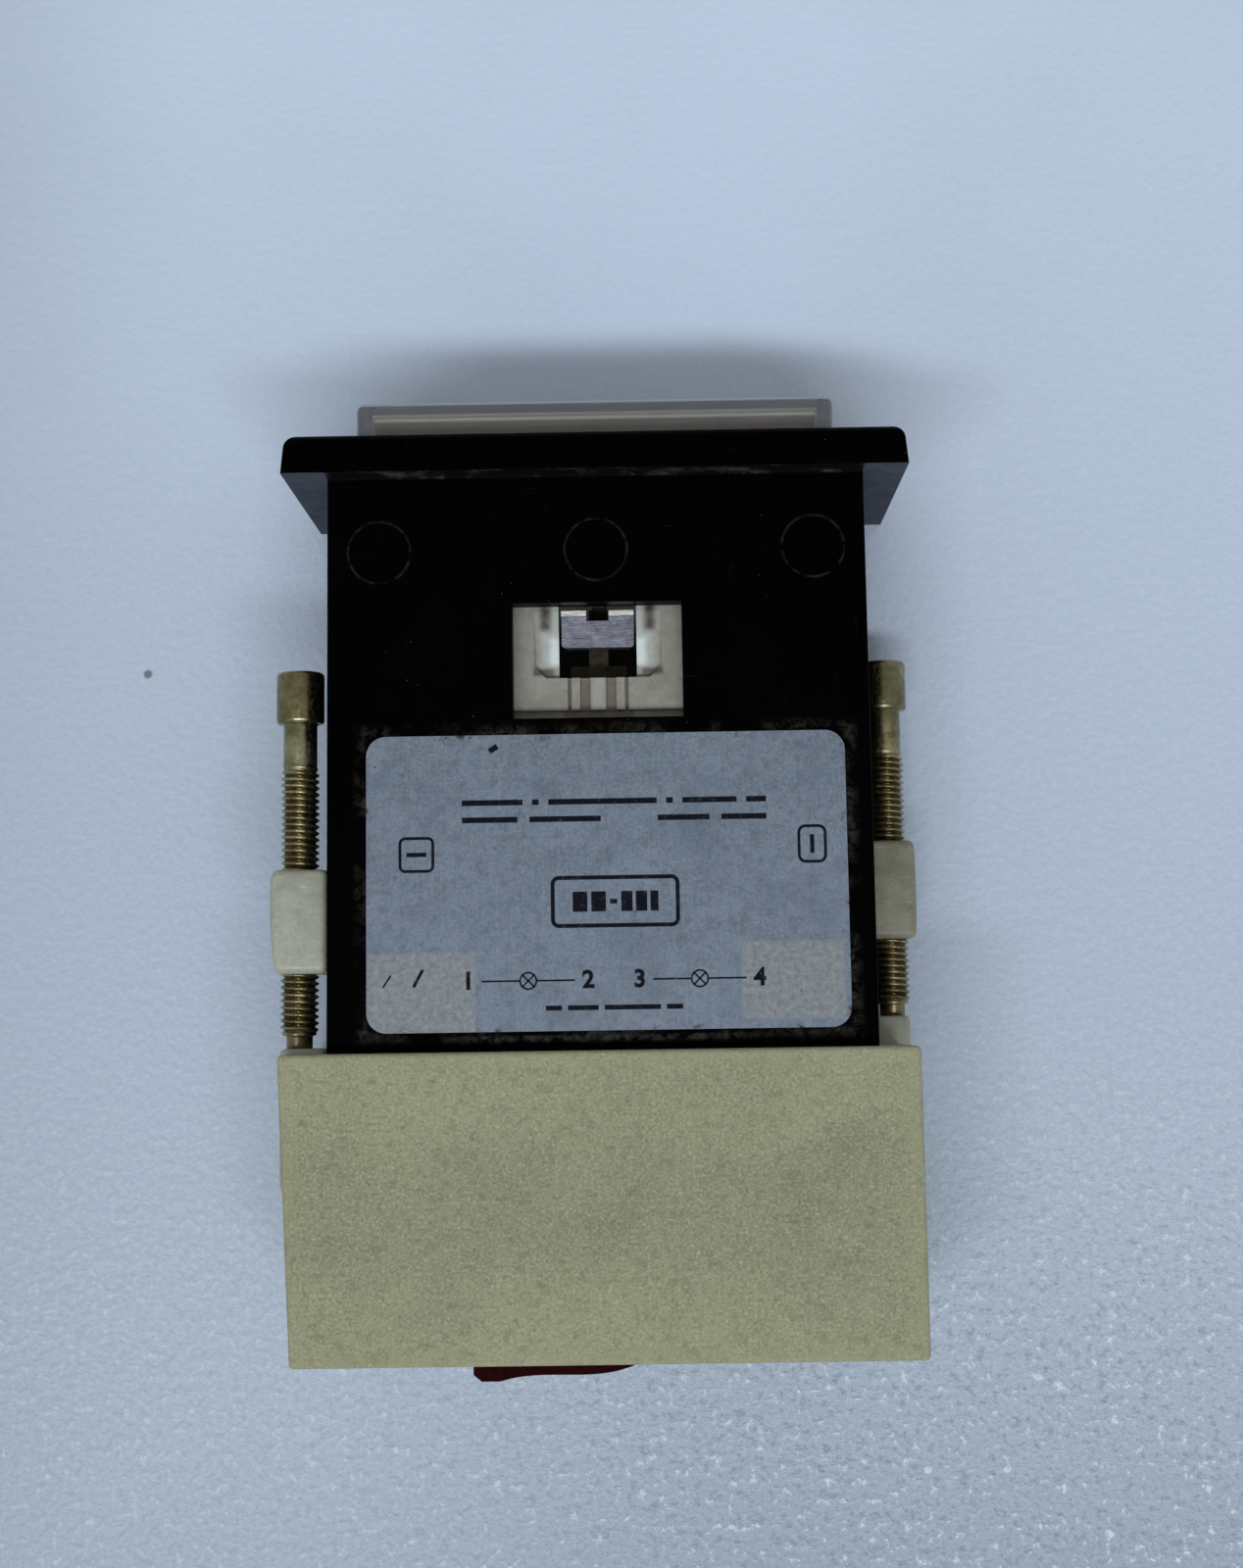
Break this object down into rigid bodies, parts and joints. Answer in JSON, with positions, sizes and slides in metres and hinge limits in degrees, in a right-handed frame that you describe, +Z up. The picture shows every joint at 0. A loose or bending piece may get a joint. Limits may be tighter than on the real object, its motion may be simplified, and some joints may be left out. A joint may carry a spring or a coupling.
{
  "type": "panel indicator lamp module",
  "caption": "Rectangular panel indicator lamp with a clear front, black housing, side clamp screws and an ivory rear block over flat terminals.",
  "frame": {"origin": "bottom centre of the module's box, as it lies on its broad side", "axes": "+Z up from the surface it lies on, +Y from the lens towards the terminals, +X to the right seen from the lens"},
  "size_m": [0.0504, 0.0742, 0.024],
  "materials": {
    "housing_black": "black moulded, satin",
    "lens_clear": "clear moulded",
    "film_clear": "translucent film",
    "diffuser_white": "translucent moulded",
    "carrier_cream": "translucent cream",
    "barrier_black": "black",
    "latch_steel": "plain spring steel",
    "leaf_brass": "dull, darkened",
    "lamp_glass": "clear",
    "lamp_base_black": "black phenolic",
    "lamp_contact": "bright",
    "filament": "tungsten grey",
    "terminal_brass": "tinned brass",
    "insulator_brown": "brown phenolic",
    "block_ivory": "spark-eroded grain",
    "nut_ivory": "natural nylon",
    "screw_zinc": "yellow passivated zinc",
    "label_foil": "printed matt foil",
    "tab_red": "dark red"
  },
  "bodies": {
    "housing": {"housing_shell": "housing_black", "rating_label": "label_foil", "terminal_base": "insulator_brown", "terminal_1": "terminal_brass", "terminal_2": "terminal_brass", "terminal_3": "terminal_brass", "terminal_4": "terminal_brass"},
    "carrier": {"lamp_carrier": "carrier_cream", "light_barrier": "barrier_black", "latch_leaf": "leaf_brass"},
    "latch": {"latch_plate": "latch_steel"},
    "lens": {"lens_cap": "lens_clear", "legend_film": "film_clear", "diffuser": "diffuser_white"},
    "block": {"rear_block": "block_ivory"},
    "tab": {"pull_tab": "tab_red"},
    "lamp_left": {"lamp_glass_left": "lamp_glass", "lamp_base_left": "lamp_base_black", "lamp_contacts_left": "lamp_contact", "lamp_filament_left": "filament"},
    "nut_left": {"clamp_nut_left": "nut_ivory"},
    "foot_left": {"screw_foot_left": "nut_ivory"},
    "screw_left": {"clamp_screw_left": "screw_zinc"},
    "lamp_right": {"lamp_glass_right": "lamp_glass", "lamp_base_right": "lamp_base_black", "lamp_contacts_right": "lamp_contact", "lamp_filament_right": "filament"},
    "nut_right": {"clamp_nut_right": "nut_ivory"},
    "foot_right": {"screw_foot_right": "nut_ivory"},
    "screw_right": {"clamp_screw_right": "screw_zinc"}
  },
  "joints": [
    {"name": "carrier_draw", "type": "slide", "parent": "housing", "child": "carrier", "axis": [0, -1, 0], "range_m": [0, 0.042]},
    {"name": "latch_press", "type": "slide", "parent": "carrier", "child": "latch", "axis": [0, 0, -1], "range_m": [0, 0.001], "stiffness_N_per_m": 400},
    {"name": "lens_pull", "type": "slide", "parent": "carrier", "child": "lens", "axis": [0, -1, 0], "range_m": [0, 0.008]},
    {"name": "block_draw", "type": "slide", "parent": "housing", "child": "block", "axis": [0, 1, 0], "range_m": [0, 0.024]},
    {"name": "tab_pull", "type": "slide", "parent": "block", "child": "tab", "axis": [0, 1, 0], "range_m": [0, 0.004]},
    {"name": "lamp_left_draw", "type": "slide", "parent": "carrier", "child": "lamp_left", "axis": [0, -1, 0], "range_m": [0, 0.014]},
    {"name": "nut_left_slide", "type": "slide", "parent": "housing", "child": "nut_left", "axis": [0, -1, 0], "range_m": [0, 0.009]},
    {"name": "screw_left_advance", "type": "slide", "parent": "nut_left", "child": "foot_left", "axis": [0, -1, 0], "range_m": [-0.001, 0.003]},
    {"name": "screw_left_turn", "type": "hinge", "parent": "foot_left", "child": "screw_left", "pos_m": [-0.0232, -0.0009, 0.006], "axis": [0, -1, 0], "range_deg": [-720, 2160]},
    {"name": "lamp_right_draw", "type": "slide", "parent": "carrier", "child": "lamp_right", "axis": [0, -1, 0], "range_m": [0, 0.014]},
    {"name": "nut_right_slide", "type": "slide", "parent": "housing", "child": "nut_right", "axis": [0, -1, 0], "range_m": [0, 0.009]},
    {"name": "screw_right_advance", "type": "slide", "parent": "nut_right", "child": "foot_right", "axis": [0, -1, 0], "range_m": [-0.001, 0.003]},
    {"name": "screw_right_turn", "type": "hinge", "parent": "foot_right", "child": "screw_right", "pos_m": [0.0232, -0.0009, 0.018], "axis": [0, -1, 0], "range_deg": [-720, 2160]}
  ],
  "couplings": [
    {"joint": "screw_left_turn", "follows": "screw_left_advance", "rad_per_m": 12566},
    {"joint": "screw_right_turn", "follows": "screw_right_advance", "rad_per_m": 12566}
  ]
}
